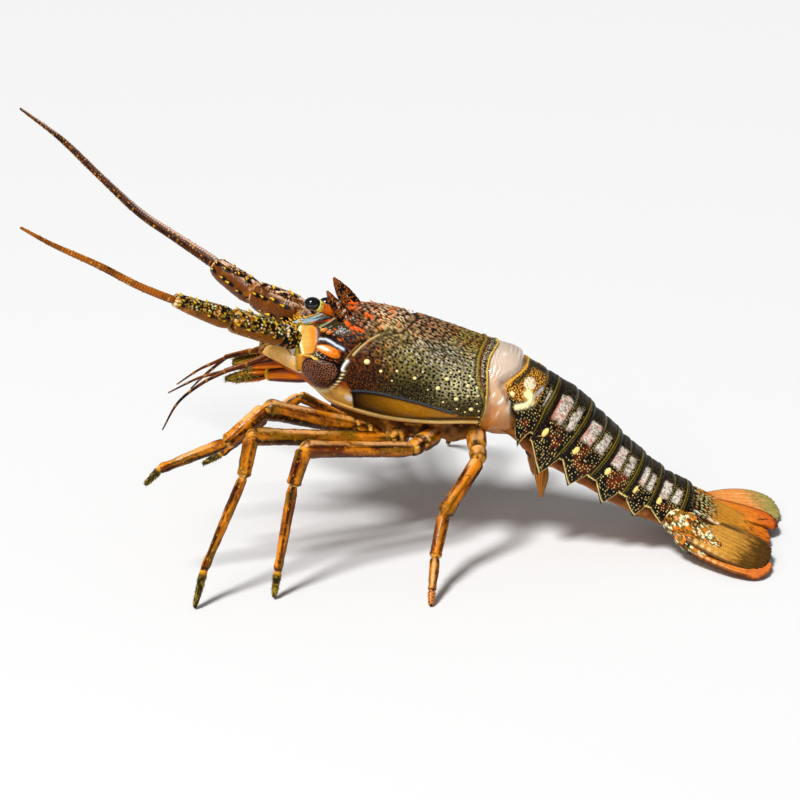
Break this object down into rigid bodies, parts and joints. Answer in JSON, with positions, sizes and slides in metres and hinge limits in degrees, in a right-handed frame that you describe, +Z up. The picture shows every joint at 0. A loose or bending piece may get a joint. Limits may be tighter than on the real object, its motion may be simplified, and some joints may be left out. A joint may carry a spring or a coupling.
{
  "type": "spiny lobster",
  "caption": "Whole raw spiny lobster standing on its walking legs, with horned carapace, long antennae, ringed abdomen and spread tail fan.",
  "frame": {"origin": "middle of the bounding box's underside, on the surface the feet stand on", "axes": "+X towards the tail, so the antennae point to -X; +Y towards the lobster's right side; +Z up"},
  "size_m": [0.4874, 0.2738, 0.2361],
  "materials": {
    "carapace_shell": "wet shell, olive-yellow net over black, red-brown towards the head",
    "head_shell": "wet shell plates in tan, orange and dark red-brown",
    "abdomen_shell": "glossy olive-black shell with many small cream dots",
    "soft_belly": "damp orange-brown skin",
    "soft_membrane": "wet pinkish-white wrinkled skin",
    "feeler_shell": "olive-yellow and brown mottled shell with thorns",
    "whip": "golden-brown fine rings",
    "leg_shell": "golden-brown shell with dark lengthwise stripes",
    "fan_shell": "orange-gold leathery blades with fine ribs",
    "eye": "glossy black eye on an orange stalk"
  },
  "bodies": {
    "root": {"carapace": "carapace_shell", "thorax": "soft_belly", "membrane": "soft_membrane", "abdomen_1": "abdomen_shell", "abdomen_2": "abdomen_shell", "abdomen_3": "abdomen_shell", "abdomen_4": "abdomen_shell", "abdomen_5": "abdomen_shell", "abdomen_6": "abdomen_shell", "abdomen_underside": "soft_belly", "swimmeret_left_2": "soft_belly", "swimmeret_left_3": "soft_belly", "swimmeret_left_4": "soft_belly", "swimmeret_left_5": "soft_belly", "swimmeret_right_2": "soft_belly", "swimmeret_right_3": "soft_belly", "swimmeret_right_4": "soft_belly", "swimmeret_right_5": "soft_belly", "telson": "fan_shell", "uropod_inner_left": "fan_shell", "uropod_inner_right": "fan_shell", "uropod_outer_left": "fan_shell", "uropod_outer_right": "fan_shell", "uropod_base_left": "fan_shell", "uropod_base_right": "fan_shell", "head": "head_shell", "antenna_left_merus": "feeler_shell", "antenna_left_carpus": "feeler_shell", "antenna_left_flagellum": "whip", "eye_left": "eye", "antennule_left": "whip", "maxilliped_left": "leg_shell", "leg_left_1_upper": "leg_shell", "leg_left_1_lower": "leg_shell", "leg_left_2_upper": "leg_shell", "leg_left_2_lower": "leg_shell", "leg_left_3_upper": "leg_shell", "leg_left_3_lower": "leg_shell", "leg_left_4_upper": "leg_shell", "leg_left_4_lower": "leg_shell", "leg_left_5_upper": "leg_shell", "leg_left_5_lower": "leg_shell", "antenna_right_merus": "feeler_shell", "antenna_right_carpus": "feeler_shell", "antenna_right_flagellum": "whip", "eye_right": "eye", "antennule_right": "whip", "maxilliped_right": "leg_shell", "leg_right_1_upper": "leg_shell", "leg_right_1_lower": "leg_shell", "leg_right_2_upper": "leg_shell", "leg_right_2_lower": "leg_shell", "leg_right_3_upper": "leg_shell", "leg_right_3_lower": "leg_shell", "leg_right_4_upper": "leg_shell", "leg_right_4_lower": "leg_shell", "leg_right_5_upper": "leg_shell", "leg_right_5_lower": "leg_shell"}
  },
  "joints": []
}
